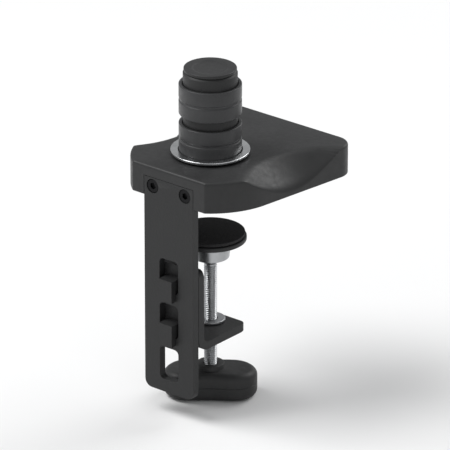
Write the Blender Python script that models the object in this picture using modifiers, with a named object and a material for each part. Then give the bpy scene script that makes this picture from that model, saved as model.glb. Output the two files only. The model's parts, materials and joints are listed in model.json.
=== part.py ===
"""Desk clamp mount for a monitor arm, modelled in metres with +Z up.

The origin is the point on the desk top under the centre of the post. +Y points from the desk's
rear edge into the desk, and +X is to the right for someone who stands behind the desk.
A covered base lies on the desk top, a hanger plate goes down the desk's rear edge, and a jaw hooks
into the hanger plate's windows. The clamp screw in the jaw presses a foot against the desk's underside.
"""
import math

import bmesh
import bpy
from mathutils import Matrix, Vector

# ---- clearances -------------------------------------------------------------------------------
GAP = 0.0003            # between pieces that touch
RUN = 0.0003            # running clearance around turning and sliding pieces

# ---- base: its outline is a rear circle about the post, two flanks and two front corners --------
REAR_RADIUS = 0.048
REAR_Y = -0.039         # the outline is cut flat here
FRONT_Y = 0.070
FRONT_HALF_WIDTH = 0.056
CORNER_RADIUS = 0.012
PAD_THICKNESS = 0.002
FRAME_THICKNESS = 0.005
DECK_Z = 0.021          # top of the cover
SKIRT_Z = 0.0015        # lower edge of the cover
COVER_WALL = 0.0025
DECK_WALL = 0.0025
DECK_FILLET = 0.0012
PAD_INSET = 0.0055
SCOOP_Y = 0.013         # a cone scoops out each flank of the cover
SCOOP_REACH = 0.032     # how near the scoop's rim comes to the centre plane at the deck
SCOOP_RIM_RADIUS = 0.052
SCOOP_FOOT_Z = 0.005    # the scoop runs out into the skirt here
SCOOP_FOOT_RADIUS = 0.0314

# ---- post, its flange and what turns on it ------------------------------------------------------
POST_RADIUS = 0.0165
POST_BORE = 0.0135
POST_TOP_Z = 0.074
POST_FLANGE_RADIUS = 0.028
POST_FLANGE_THICKNESS = 0.005
SHOULDER_RADIUS = 0.021
WASHER_THICKNESS = 0.001
RING_RADIUS = 0.024
RING_THICKNESS = 0.0016
SLEEVE_WALL = 0.0022
SLEEVE_LENGTH = 0.019
SLEEVE_SPACING = 0.006
CAP_RIM = 0.002
CAP_PLUG_DEPTH = 0.008

# ---- screws that hold the base together ----------------------------------------------------------
POST_SCREW_COUNT = 4
POST_SCREW_CIRCLE = 0.0235
POST_SCREW_RADIUS = 0.0025
POST_SCREW_LENGTH = 0.0085
COVER_SCREW_RADIUS = 0.0015
COVER_SCREW_LENGTH = 0.012
COVER_BOSS_RADIUS = 0.0036
COVER_SCREW_REAR = (0.031, -0.017)
COVER_SCREW_FRONT = (0.024, 0.052)

# ---- hanger plate ---------------------------------------------------------------------------------
HANGER_WIDTH = 0.038
HANGER_THICKNESS = 0.005
HANGER_BOTTOM_Z = -0.124
HANGER_TOP_Z = 0.014
HANGER_CORNER = 0.005
WINDOW_COUNT = 3
WINDOW_WIDTH = 0.0145
WINDOW_HEIGHT = 0.0215
WINDOW_CORNER = 0.003
WINDOW_PITCH = 0.029
WINDOW_FIRST_Z = -0.047
HANGER_SCREW_X = 0.0125
HANGER_SCREW_Z = 0.0085
HANGER_SCREW_RADIUS = 0.0025
HANGER_SCREW_LENGTH = 0.007
HANGER_HEAD_RADIUS = 0.00425
HANGER_HEAD_HEIGHT = 0.0027
HANGER_HEAD_SINK = 0.0004
BLOCK_DEPTH = 0.0053    # block at the rear of the frame that takes the hanger screws

# ---- jaw ------------------------------------------------------------------------------------------
JAW_THICKNESS = 0.005
JAW_FRONT_Y = 0.011
JAW_TOP_Z = -0.089
JAW_LEG_TOP_Z = -0.041
JAW_CORNER = 0.004
BEND_INSIDE = 0.004
HOOK_WIDTH = 0.010
HOOK_HEIGHT = 0.009
HOOK_LIP = 0.0032
HOOK_DROP = 0.005
HOOKED_WINDOWS = 2
BUSH_RADIUS = 0.006
BUSH_FLANGE_RADIUS = 0.009
BUSH_FLANGE_THICKNESS = 0.0015
BUSH_BOTTOM_Z = -0.099

# ---- clamp screw, foot and handle -------------------------------------------------------------------
SCREW_RADIUS = 0.004
BALL_RADIUS = 0.006
NECK_RADIUS = 0.0032
NECK_LENGTH = 0.003
FOOT_TOP_Z = -0.030
FOOT_PAD_THICKNESS = 0.002
FOOT_PAD_RADIUS = 0.021
FOOT_PLATE_RADIUS = 0.022
FOOT_PLATE_THICKNESS = 0.003
SEAT_WALL = 0.0024
SEAT_ANGLE = math.radians(30)
SOCKET_RADIUS = 0.0125
SOCKET_FLANGE_RADIUS = 0.016
SOCKET_FLANGE_THICKNESS = 0.002
SOCKET_BELOW_BALL = 0.005
HANDLE_ANGLE = math.radians(38)
HANDLE_LENGTH = 0.057
HANDLE_DEPTH = 0.028
HANDLE_TOP_Z = -0.120
HANDLE_THICKNESS = 0.018
HANDLE_EDGE = 0.003
HUB_RADIUS = 0.0085
HUB_TOP_Z = -0.117
HANDLE_CAP_RADIUS = 0.0075
HANDLE_CAP_THICKNESS = 0.0022
PIN_RADIUS = 0.0015
PIN_LENGTH = 0.022
PIN_DROP = 0.008        # below the handle's top

# ---- worked out from the sizes above ---------------------------------------------------------------
FRAME_BOTTOM_Z = PAD_THICKNESS + GAP
FRAME_TOP_Z = FRAME_BOTTOM_Z + FRAME_THICKNESS
FRAME_INSET = COVER_WALL + GAP
FLANGE_BOTTOM_Z = FRAME_TOP_Z + GAP
FLANGE_TOP_Z = FLANGE_BOTTOM_Z + POST_FLANGE_THICKNESS
SHOULDER_Z = DECK_Z - GAP
WASHER_Z = SHOULDER_Z + GAP
RING_Z = WASHER_Z + WASHER_THICKNESS + GAP
SLEEVE_Z = RING_Z
SLEEVE_BORE = POST_RADIUS + RUN
RING_BORE = SLEEVE_BORE + SLEEVE_WALL + RUN
HANGER_FRONT_Y = REAR_Y + HANGER_THICKNESS
LEG_REAR_Y = HANGER_FRONT_Y + GAP
LEG_FRONT_Y = LEG_REAR_Y + JAW_THICKNESS
JAW_BOTTOM_Z = JAW_TOP_Z - JAW_THICKNESS
THREAD_BORE = SCREW_RADIUS + RUN
FOOT_PLATE_TOP_Z = FOOT_TOP_Z - FOOT_PAD_THICKNESS - GAP
FOOT_PLATE_BOTTOM_Z = FOOT_PLATE_TOP_Z - FOOT_PLATE_THICKNESS
BALL_Z = FOOT_PLATE_BOTTOM_Z - GAP - BALL_RADIUS
SEAT_BORE = BALL_RADIUS + RUN
SEAT_RADIUS = SEAT_BORE + SEAT_WALL
SOCKET_BORE = SEAT_RADIUS + RUN
HANDLE_BOTTOM_Z = HANDLE_TOP_Z - HANDLE_THICKNESS
HANDLE_CAP_Z = HANDLE_BOTTOM_Z + HANDLE_CAP_THICKNESS
SCREW_END_Z = HANDLE_CAP_Z + GAP
PIN_Z = HANDLE_TOP_Z - PIN_DROP

ROUND_STEPS = 40        # facets around large turned pieces
SMALL_STEPS = 20        # facets around screws and small holes
ARC_STEPS = 8           # points on a quarter turn of an outline


def clear_scene():
    """Remove every object that the file starts with."""
    for item in list(bpy.data.objects):
        bpy.data.objects.remove(item)


def new_collection(name):
    """Add a collection under the scene."""
    collection = bpy.data.collections.new(name)
    bpy.context.scene.collection.children.link(collection)
    return collection


clear_scene()
PARTS = new_collection("desk_clamp_mount")
CUTTERS = new_collection("cutters")


def material(name, colour, roughness, metallic=0.0):
    """Make a Principled material with one colour, roughness and metallic value."""
    finish = bpy.data.materials.new(name)
    finish.use_nodes = True
    shader = finish.node_tree.nodes["Principled BSDF"]
    shader.inputs["Base Color"].default_value = (*colour, 1.0)
    shader.inputs["Roughness"].default_value = roughness
    shader.inputs["Metallic"].default_value = metallic
    return finish


COVER_PLASTIC = material("cover_plastic", (0.045, 0.046, 0.047), 0.50)
HANDLE_PLASTIC = material("handle_plastic", (0.035, 0.036, 0.037), 0.55)
BLACK_STEEL = material("black_powder_coat", (0.040, 0.041, 0.042), 0.55, 0.0)
CAST_METAL = material("cast_frame", (0.30, 0.31, 0.32), 0.45, 1.0)
BRIGHT_STEEL = material("bright_steel", (0.60, 0.61, 0.62), 0.25, 1.0)
ZINC_STEEL = material("zinc_steel", (0.45, 0.46, 0.47), 0.35, 1.0)
DARK_SCREW = material("black_oxide_screw", (0.02, 0.02, 0.02), 0.40, 1.0)
SLEEVE_PLASTIC = material("sleeve_plastic", (0.08, 0.08, 0.085), 0.40)
FOAM_PAD = material("foam_pad", (0.015, 0.015, 0.016), 0.90)


# ---- outlines ---------------------------------------------------------------------------------------

def arc(centre, radius, start, end, steps=ARC_STEPS):
    """Points on an arc, both ends included, with angles in radians."""
    return [
        (
            centre[0] + radius * math.cos(start + (end - start) * step / steps),
            centre[1] + radius * math.sin(start + (end - start) * step / steps),
        )
        for step in range(steps + 1)
    ]


def base_outline(inset):
    """The base's outline moved inwards: rear flat, round rear, flanks, round front corners."""
    corner = (FRONT_HALF_WIDTH - CORNER_RADIUS, FRONT_Y - CORNER_RADIUS)
    spread = math.hypot(*corner)
    tangent = math.atan2(corner[1], corner[0]) - math.acos((REAR_RADIUS - CORNER_RADIUS) / spread)
    radius = REAR_RADIUS - inset
    flat_angle = math.asin((REAR_Y + inset) / radius)
    right = arc((0.0, 0.0), radius, flat_angle, tangent)
    right += arc(corner, CORNER_RADIUS - inset, tangent, math.pi / 2)
    left = [(-x, y) for x, y in reversed(right)]
    return right + left


def stadium(length, depth, steps=ARC_STEPS * 2):
    """A bar's outline with full round ends, along X."""
    radius = depth / 2
    reach = length / 2 - radius
    right = arc((reach, 0.0), radius, -math.pi / 2, math.pi / 2, steps)
    left = arc((-reach, 0.0), radius, math.pi / 2, 3 * math.pi / 2, steps)
    return right + left


def rounded_rectangle(width, height, corner):
    """A rectangle's outline about its centre, with round corners."""
    x = width / 2 - corner
    y = height / 2 - corner
    quarter = math.pi / 2
    centres = ((x, -y), (x, y), (-x, y), (-x, -y))
    points = []
    for index, centre in enumerate(centres):
        start = (index - 1) * quarter
        points += arc(centre, corner, start, start + quarter)
    return points


# ---- solids -----------------------------------------------------------------------------------------

def add_object(name, mesh, finish, collection=PARTS):
    """Put a mesh in the scene as a named object."""
    item = bpy.data.objects.new(name, mesh)
    collection.objects.link(item)
    if finish:
        mesh.materials.append(finish)
    if collection is CUTTERS:
        item.hide_render = True
        item.display_type = "WIRE"
    return item


def mesh_of(name, shape):
    """Turn a bmesh into a mesh and free it."""
    mesh = bpy.data.meshes.new(name)
    shape.to_mesh(mesh)
    shape.free()
    return mesh


def box(name, low, high, finish=None, collection=PARTS):
    """A box between its lowest and highest corners."""
    shape = bmesh.new()
    size = [b - a for a, b in zip(low, high)]
    centre = [(a + b) / 2 for a, b in zip(low, high)]
    place = Matrix.Translation(centre) @ Matrix.Diagonal((*size, 1.0))
    bmesh.ops.create_cube(shape, size=1.0, matrix=place)
    return add_object(name, mesh_of(name, shape), finish, collection)


def rod(name, start, end, radius, end_radius=None, finish=None, collection=CUTTERS, steps=SMALL_STEPS):
    """A cylinder or a cone between two points."""
    shape = bmesh.new()
    line = Vector(end) - Vector(start)
    turn = Vector((0.0, 0.0, 1.0)).rotation_difference(line).to_matrix().to_4x4()
    place = Matrix.Translation((Vector(start) + Vector(end)) / 2) @ turn
    top = radius if end_radius is None else end_radius
    bmesh.ops.create_cone(
        shape, cap_ends=True, segments=steps, radius1=radius, radius2=top, depth=line.length, matrix=place
    )
    return add_object(name, mesh_of(name, shape), finish, collection)


def plate(name, outline, z_low, z_high, finish=None, collection=PARTS, turn=None):
    """A flat outline filled and thickened between two heights, then made a mesh."""
    curve = bpy.data.curves.new(name, "CURVE")
    curve.dimensions = "2D"
    curve.fill_mode = "BOTH"
    curve.extrude = (z_high - z_low) / 2
    line = curve.splines.new("POLY")
    line.points.add(len(outline) - 1)
    for point, (x, y) in zip(line.points, outline):
        point.co = (x, y, 0.0, 1.0)
    line.use_cyclic_u = True
    guide = bpy.data.objects.new(name + "_outline", curve)
    CUTTERS.objects.link(guide)
    place = Matrix.Translation((0.0, 0.0, (z_low + z_high) / 2))
    guide.matrix_world = turn @ place if turn else place
    bpy.context.view_layer.update()
    mesh = bpy.data.meshes.new_from_object(guide.evaluated_get(bpy.context.evaluated_depsgraph_get()))
    mesh.transform(guide.matrix_world)
    bpy.data.objects.remove(guide)
    shape = bmesh.new()
    shape.from_mesh(mesh)
    bmesh.ops.remove_doubles(shape, verts=shape.verts, dist=0.00001)
    shape.to_mesh(mesh)
    shape.free()
    return add_object(name, mesh, finish, collection)


def turned(name, profile, finish=None, collection=PARTS, steps=ROUND_STEPS, closed=False):
    """A profile of (radius, height) points turned about Z; it runs down the outer side first."""
    mesh = bpy.data.meshes.new(name)
    last = len(profile) - 1
    edges = [(index, index + 1) for index in range(last)]
    if closed:
        edges.append((last, 0))
    mesh.from_pydata([(radius, 0.0, z) for radius, z in profile], edges, [])
    item = add_object(name, mesh, finish, collection)
    screw = item.modifiers.new("turn", "SCREW")
    screw.axis = "Z"
    screw.steps = steps
    screw.render_steps = steps
    screw.use_merge_vertices = True
    screw.merge_threshold = 0.00001
    return item


def ring(name, bore, radius, z_low, z_high, finish=None, collection=PARTS, steps=ROUND_STEPS):
    """A flat ring with square edges."""
    profile = [(radius, z_high), (radius, z_low), (bore, z_low), (bore, z_high)]
    return turned(name, profile, finish, collection, steps, closed=True)


def boolean(item, other, operation):
    """Add an exact Boolean; the other object becomes a hidden cutter."""
    step = item.modifiers.new(operation.lower() + "_" + other.name, "BOOLEAN")
    step.operation = operation
    step.solver = "EXACT"
    step.object = other
    return item


def cut(item, *cutters):
    """Take each cutter away from an object."""
    for cutter in cutters:
        boolean(item, cutter, "DIFFERENCE")
    return item


def join(item, *additions):
    """Melt each addition into an object."""
    for addition in additions:
        boolean(item, addition, "UNION")
    return item


def round_edges(item, radius, test, segments=5):
    """Round the edges whose two ends both pass a test on their position."""
    shape = bmesh.new()
    shape.from_mesh(item.data)
    edges = [edge for edge in shape.edges if test(edge)]
    bmesh.ops.bevel(shape, geom=edges, offset=radius, segments=segments, profile=0.5, affect="EDGES")
    shape.to_mesh(item.data)
    shape.free()
    return item


def soften(item, width, segments=2, angle=math.radians(40)):
    """Bevel the sharp edges of an object."""
    bevel = item.modifiers.new("soft_edges", "BEVEL")
    bevel.width = width
    bevel.segments = segments
    bevel.limit_method = "ANGLE"
    bevel.angle_limit = angle
    return item


def upright(edge):
    """True for an edge that runs along Z."""
    line = edge.verts[1].co - edge.verts[0].co
    return abs(line.z) > 0.99 * line.length


def lengthwise(edge):
    """True for an edge that runs along Y."""
    line = edge.verts[1].co - edge.verts[0].co
    return abs(line.y) > 0.99 * line.length


# ---- base -------------------------------------------------------------------------------------------

def scoops(name, extra):
    """The two cones that hollow the flanks, grown sideways by a wall thickness."""
    slope = (SCOOP_RIM_RADIUS - SCOOP_FOOT_RADIUS) / (DECK_Z - SCOOP_FOOT_Z)
    grow = extra * math.hypot(1.0, slope)
    low = SCOOP_FOOT_Z - 0.012
    high = DECK_Z + 0.004
    cones = []
    for side in (-1, 1):
        x = side * (SCOOP_REACH + SCOOP_RIM_RADIUS)
        low_radius = SCOOP_FOOT_RADIUS + slope * (low - SCOOP_FOOT_Z) + grow
        high_radius = SCOOP_FOOT_RADIUS + slope * (high - SCOOP_FOOT_Z) + grow
        tag = name + ("_left" if side < 0 else "_right")
        cones.append(rod(tag, (x, SCOOP_Y, low), (x, SCOOP_Y, high), low_radius, high_radius, steps=72))
    return cones


def cover_screw_places():
    """Centres of the four cover screws, by name."""
    return {
        "rear_right": COVER_SCREW_REAR,
        "rear_left": (-COVER_SCREW_REAR[0], COVER_SCREW_REAR[1]),
        "front_right": COVER_SCREW_FRONT,
        "front_left": (-COVER_SCREW_FRONT[0], COVER_SCREW_FRONT[1]),
    }


def make_cover():
    """Moulded cover: a shell open below, scooped at its flanks, with screw bosses inside."""
    cover = plate("base_cover", base_outline(0.0), SKIRT_Z, DECK_Z, COVER_PLASTIC)
    cut(cover, *scoops("cover_scoop", 0.0))
    soften(cover, DECK_FILLET)
    ceiling = DECK_Z - DECK_WALL
    hollow = plate("cover_hollow", base_outline(COVER_WALL), SKIRT_Z - 0.002, ceiling, None, CUTTERS)
    cut(hollow, *scoops("hollow_scoop", COVER_WALL))
    for tag, (x, y) in cover_screw_places().items():
        boss_bottom = FRAME_TOP_Z + GAP
        boss = rod("boss_" + tag, (x, y, boss_bottom), (x, y, ceiling + 0.001), COVER_BOSS_RADIUS)
        cut(hollow, boss)
    cut(cover, hollow)
    for tag, (x, y) in cover_screw_places().items():
        hole_top = FRAME_BOTTOM_Z + COVER_SCREW_LENGTH + 2 * GAP
        cut(cover, rod("pilot_" + tag, (x, y, 0.0), (x, y, hole_top), COVER_SCREW_RADIUS + GAP))
    opening = SHOULDER_RADIUS + GAP
    cut(cover, rod("post_opening", (0, 0, ceiling - 0.002), (0, 0, DECK_Z + 0.002), opening, steps=ROUND_STEPS))
    half = HANGER_WIDTH / 2 + GAP
    notch_low = (-half, REAR_Y - 0.002, SKIRT_Z - 0.002)
    notch_high = (half, HANGER_FRONT_Y, HANGER_TOP_Z + GAP)
    return cut(cover, box("hanger_notch", notch_low, notch_high, None, CUTTERS))


def make_frame():
    """Cast frame under the cover, with a block at the rear for the hanger screws."""
    outline = base_outline(FRAME_INSET)
    frame = plate("base_frame", outline, FRAME_BOTTOM_Z, FRAME_TOP_Z, CAST_METAL)
    cut(frame, *scoops("frame_scoop", FRAME_INSET))
    half = HANGER_WIDTH / 2
    block_rear = HANGER_FRONT_Y + GAP
    block_front = block_rear + BLOCK_DEPTH
    inside_z = FRAME_BOTTOM_Z + FRAME_THICKNESS / 2
    block_low = (-half, block_rear - 0.001, inside_z)
    join(frame, box("frame_block", block_low, (half, block_front, HANGER_TOP_Z), None, CUTTERS))
    room_low = (-half - GAP, REAR_Y - 0.002, 0.0)
    cut(frame, box("hanger_room", room_low, (half + GAP, block_rear, DECK_Z), None, CUTTERS))
    for x in (-HANGER_SCREW_X, HANGER_SCREW_X):
        start = (x, REAR_Y, HANGER_SCREW_Z)
        end = (x, block_front + 0.001, HANGER_SCREW_Z)
        cut(frame, rod("hanger_tap", start, end, HANGER_SCREW_RADIUS + GAP))
    for x, y in cover_screw_places().values():
        cut(frame, *screw_holes("cover_hole", x, y, COVER_SCREW_RADIUS, FRAME_TOP_Z + 0.001))
    for x, y in post_screw_places():
        cut(frame, *screw_holes("post_hole", x, y, POST_SCREW_RADIUS, FRAME_TOP_Z + 0.001))
    return frame


def screw_holes(name, x, y, radius, top):
    """Cutters for a countersunk hole that opens at the frame's underside."""
    head = 2 * radius
    sink = rod(name + "_sink", (x, y, FRAME_BOTTOM_Z - 0.001), (x, y, FRAME_BOTTOM_Z + GAP), head + GAP)
    taper_top = FRAME_BOTTOM_Z + GAP + radius
    taper = rod(name + "_taper", (x, y, FRAME_BOTTOM_Z), (x, y, taper_top), head + GAP, radius + GAP)
    shank = rod(name + "_shank", (x, y, FRAME_BOTTOM_Z), (x, y, top), radius + GAP)
    return sink, taper, shank


def make_countersunk(name, x, y, radius, length):
    """Countersunk screw that points up, with its head in the frame's underside."""
    head = 2 * radius
    top = FRAME_BOTTOM_Z + length
    recess = radius * 0.8
    profile = [
        (0.0, top),
        (radius * 0.7, top),
        (radius, top - radius * 0.5),
        (radius, FRAME_BOTTOM_Z + GAP + radius),
        (head, FRAME_BOTTOM_Z + GAP),
        (head, FRAME_BOTTOM_Z),
        (recess, FRAME_BOTTOM_Z),
        (0.0, FRAME_BOTTOM_Z + radius * 0.8),
    ]
    screw = turned(name, profile, DARK_SCREW, steps=SMALL_STEPS)
    screw.location = (x, y, 0.0)
    return screw


def post_screw_places():
    """Centres of the screws that hold the post's flange, on a circle."""
    places = []
    for index in range(POST_SCREW_COUNT):
        angle = math.pi / 4 + index * 2 * math.pi / POST_SCREW_COUNT
        places.append((POST_SCREW_CIRCLE * math.cos(angle), POST_SCREW_CIRCLE * math.sin(angle)))
    return places


def make_pad():
    """Foam pad glued under the frame."""
    return plate("base_pad", base_outline(PAD_INSET), 0.0, PAD_THICKNESS, FOAM_PAD)


def make_base_screws():
    """Screws from below: four hold the cover and the others hold the post's flange."""
    for tag, (x, y) in cover_screw_places().items():
        make_countersunk("cover_screw_" + tag, x, y, COVER_SCREW_RADIUS, COVER_SCREW_LENGTH)
    for index, (x, y) in enumerate(post_screw_places(), start=1):
        make_countersunk(f"post_screw_{index}", x, y, POST_SCREW_RADIUS, POST_SCREW_LENGTH)


# ---- post -------------------------------------------------------------------------------------------

def make_post():
    """Steel post: flange, shoulder and tube turned in one, open at the top."""
    floor = FLANGE_BOTTOM_Z + POST_FLANGE_THICKNESS
    profile = [
        (POST_RADIUS - 0.001, POST_TOP_Z),
        (POST_RADIUS, POST_TOP_Z - 0.001),
        (POST_RADIUS, SHOULDER_Z),
        (SHOULDER_RADIUS, SHOULDER_Z),
        (SHOULDER_RADIUS, FLANGE_TOP_Z),
        (POST_FLANGE_RADIUS, FLANGE_TOP_Z),
        (POST_FLANGE_RADIUS, FLANGE_BOTTOM_Z),
        (0.0, FLANGE_BOTTOM_Z),
    ]
    inside = [(0.0, floor), (POST_BORE, floor), (POST_BORE, POST_TOP_Z)]
    post = turned("post", profile + inside, BLACK_STEEL)
    close_profile(post)
    for x, y in post_screw_places():
        top = FRAME_BOTTOM_Z + POST_SCREW_LENGTH + GAP
        hole = rod("post_tap", (x, y, 0.0), (x, y, top), POST_SCREW_RADIUS + GAP)
        cut(post, hole)
    return post


def close_profile(item):
    """Join a turned profile's last point to its first, where both lie off the axis."""
    shape = bmesh.new()
    shape.from_mesh(item.data)
    shape.verts.ensure_lookup_table()
    shape.edges.new((shape.verts[-1], shape.verts[0]))
    shape.to_mesh(item.data)
    shape.free()


def make_cap():
    """Plug that closes the post's open top."""
    profile = [
        (0.0, POST_TOP_Z + GAP + CAP_RIM),
        (POST_RADIUS - 0.0015, POST_TOP_Z + GAP + CAP_RIM),
        (POST_RADIUS - 0.0005, POST_TOP_Z + GAP + CAP_RIM - 0.001),
        (POST_RADIUS - 0.0005, POST_TOP_Z + GAP),
        (POST_BORE - GAP, POST_TOP_Z + GAP),
        (POST_BORE - GAP, POST_TOP_Z - CAP_PLUG_DEPTH),
        (0.0, POST_TOP_Z - CAP_PLUG_DEPTH),
    ]
    return turned("post_cap", profile, COVER_PLASTIC)


def make_swivel():
    """What turns on the post with the arm: slip washer, bright ring and two sleeves."""
    ring("slip_washer", SLEEVE_BORE, SHOULDER_RADIUS, WASHER_Z, WASHER_Z + WASHER_THICKNESS, SLEEVE_PLASTIC)
    ring("swivel_ring", RING_BORE, RING_RADIUS, RING_Z, RING_Z + RING_THICKNESS, BRIGHT_STEEL)
    upper_z = SLEEVE_Z + SLEEVE_LENGTH + SLEEVE_SPACING
    for tag, z in (("lower", SLEEVE_Z), ("upper", upper_z)):
        ring("sleeve_" + tag, SLEEVE_BORE, SLEEVE_BORE + SLEEVE_WALL, z, z + SLEEVE_LENGTH, SLEEVE_PLASTIC)


# ---- hanger -----------------------------------------------------------------------------------------

def window_height(index):
    """Height of a window's centre, counted from the top."""
    return WINDOW_FIRST_Z - index * WINDOW_PITCH


def make_hanger():
    """Flat steel plate down the desk's edge, with windows for the jaw's hooks."""
    half = HANGER_WIDTH / 2
    hanger = box(
        "hanger_plate", (-half, REAR_Y, HANGER_BOTTOM_Z), (half, HANGER_FRONT_Y, HANGER_TOP_Z), BLACK_STEEL
    )

    def lower_corner(edge):
        return lengthwise(edge) and edge.verts[0].co.z < HANGER_BOTTOM_Z + 0.001

    round_edges(hanger, HANGER_CORNER, lower_corner)
    upright_turn = Matrix.Rotation(math.pi / 2, 4, "X")
    for index in range(WINDOW_COUNT):
        outline = [
            (x, y + window_height(index))
            for x, y in rounded_rectangle(WINDOW_WIDTH, WINDOW_HEIGHT, WINDOW_CORNER)
        ]
        cutter = plate(
            f"window_{index + 1}", outline, -HANGER_FRONT_Y - 0.002, -REAR_Y + 0.002,
            None, CUTTERS, upright_turn,
        )
        cut(hanger, cutter)
    for x in (-HANGER_SCREW_X, HANGER_SCREW_X):
        z = HANGER_SCREW_Z
        sink_y = REAR_Y + HANGER_HEAD_SINK + HANGER_HEAD_HEIGHT + GAP
        cut(
            hanger,
            rod("head_sink", (x, REAR_Y - 0.001, z), (x, sink_y, z), HANGER_HEAD_RADIUS + GAP),
            rod("shank_hole", (x, REAR_Y, z), (x, HANGER_FRONT_Y + 0.001, z), HANGER_SCREW_RADIUS + GAP),
        )
    return hanger


def make_hanger_screws():
    """Two socket screws that hold the hanger plate to the frame's rear block."""
    head_back = 0.0
    head_front = HANGER_HEAD_HEIGHT
    end = HANGER_HEAD_HEIGHT + HANGER_SCREW_LENGTH
    profile = [
        (0.0, end),
        (HANGER_SCREW_RADIUS * 0.7, end),
        (HANGER_SCREW_RADIUS, end - HANGER_SCREW_RADIUS * 0.5),
        (HANGER_SCREW_RADIUS, head_front),
        (HANGER_HEAD_RADIUS, head_front),
        (HANGER_HEAD_RADIUS, head_back),
        (0.0, head_back),
    ]
    for tag, x in (("left", -HANGER_SCREW_X), ("right", HANGER_SCREW_X)):
        screw = turned("hanger_screw_" + tag, profile, DARK_SCREW, steps=SMALL_STEPS)
        screw.location = (x, REAR_Y + HANGER_HEAD_SINK, HANGER_SCREW_Z)
        screw.rotation_euler = (-math.pi / 2, 0.0, 0.0)
        depth = HANGER_HEAD_HEIGHT * 0.6
        key = rod("key_" + tag, (0, 0, -0.001), (0, 0, depth), HANGER_HEAD_RADIUS * 0.5, steps=6)
        key.location = screw.location
        key.rotation_euler = screw.rotation_euler
        cut(screw, key)


# ---- jaw --------------------------------------------------------------------------------------------

def make_jaw():
    """Steel angle: a leg with two hooks and a flat jaw that carries the clamp screw."""
    half = HANGER_WIDTH / 2
    bend_outside = BEND_INSIDE + JAW_THICKNESS
    bend = (LEG_REAR_Y + bend_outside, JAW_BOTTOM_Z + bend_outside)
    quarter = math.pi / 2
    outline = [(LEG_REAR_Y, JAW_LEG_TOP_Z)]
    outline += arc(bend, bend_outside, 2 * quarter, 3 * quarter)
    outline += [(JAW_FRONT_Y, JAW_BOTTOM_Z), (JAW_FRONT_Y, JAW_TOP_Z)]
    outline += arc(bend, BEND_INSIDE, 3 * quarter, 2 * quarter)
    outline += [(LEG_FRONT_Y, JAW_LEG_TOP_Z)]
    across = Matrix(((0, 0, 1, 0), (1, 0, 0, 0), (0, 1, 0, 0), (0, 0, 0, 1)))
    jaw = plate("jaw_bracket", outline, -half, half, BLACK_STEEL, PARTS, across)

    def free_corner(edge):
        place = edge.verts[0].co
        at_front = upright(edge) and place.y > JAW_FRONT_Y - 0.0005
        at_top = lengthwise(edge) and place.z > JAW_LEG_TOP_Z - 0.0005
        return at_front or at_top

    round_edges(jaw, JAW_CORNER, free_corner)
    for index in range(HOOKED_WINDOWS):
        tongue_bottom = window_height(index) - WINDOW_HEIGHT / 2 + GAP
        tongue_top = tongue_bottom + HOOK_HEIGHT
        lip_front = REAR_Y - GAP
        lip_back = lip_front - HOOK_LIP
        side = HOOK_WIDTH / 2
        tongue = box(
            f"tongue_{index + 1}", (-side, lip_back, tongue_bottom), (side, LEG_REAR_Y + 0.001, tongue_top),
            None, CUTTERS,
        )
        lip = box(
            f"lip_{index + 1}", (-side, lip_back, tongue_bottom - HOOK_DROP), (side, lip_front, tongue_top),
            None, CUTTERS,
        )
        join(jaw, tongue, lip)
    hole = rod(
        "bush_hole", (0, 0, JAW_BOTTOM_Z - 0.001), (0, 0, JAW_TOP_Z + 0.001), BUSH_RADIUS + GAP,
        steps=ROUND_STEPS,
    )
    return cut(jaw, hole)


def make_bush():
    """Threaded bush pushed through the jaw from above; its flange takes the clamp's load."""
    flange_low = JAW_TOP_Z + GAP
    flange_high = flange_low + BUSH_FLANGE_THICKNESS
    profile = [
        (BUSH_FLANGE_RADIUS, flange_high),
        (BUSH_FLANGE_RADIUS, flange_low),
        (BUSH_RADIUS, flange_low),
        (BUSH_RADIUS, BUSH_BOTTOM_Z),
        (THREAD_BORE, BUSH_BOTTOM_Z),
        (THREAD_BORE, flange_high),
    ]
    return turned("clamp_bush", profile, ZINC_STEEL, closed=True)


# ---- clamp screw, foot and handle ---------------------------------------------------------------------

def ball_arc(radius, start, end, steps=8):
    """Profile points on a sphere about the ball's centre, between two elevations."""
    return [
        (
            radius * math.cos(start + (end - start) * step / steps),
            BALL_Z + radius * math.sin(start + (end - start) * step / steps),
        )
        for step in range(steps + 1)
    ]


def make_screw():
    """Clamp screw with a ball at its top end and a cross hole for the handle's pin."""
    neck_angle = -math.acos(NECK_RADIUS / BALL_RADIUS)
    ball = ball_arc(BALL_RADIUS, math.pi / 2, neck_angle, 12)
    ball[0] = (0.0, BALL_Z + BALL_RADIUS)
    neck_end = ball[-1][1] - NECK_LENGTH
    chamfer = 0.001
    profile = ball + [
        (NECK_RADIUS, neck_end),
        (SCREW_RADIUS, neck_end - chamfer),
        (SCREW_RADIUS, SCREW_END_Z + chamfer),
        (SCREW_RADIUS - chamfer, SCREW_END_Z),
        (0.0, SCREW_END_Z),
    ]
    screw = turned("clamp_screw", profile, ZINC_STEEL, steps=32)
    return cut(screw, pin_rod("screw_pin_hole", HANDLE_DEPTH, PIN_RADIUS + GAP))


def pin_rod(name, length, radius, finish=None, collection=CUTTERS):
    """A rod across the screw's axis, along the handle's short side."""
    across = Vector((-math.sin(HANDLE_ANGLE), math.cos(HANDLE_ANGLE), 0.0)) * length / 2
    centre = Vector((0.0, 0.0, PIN_Z))
    return rod(name, centre - across, centre + across, radius, None, finish, collection)


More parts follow.
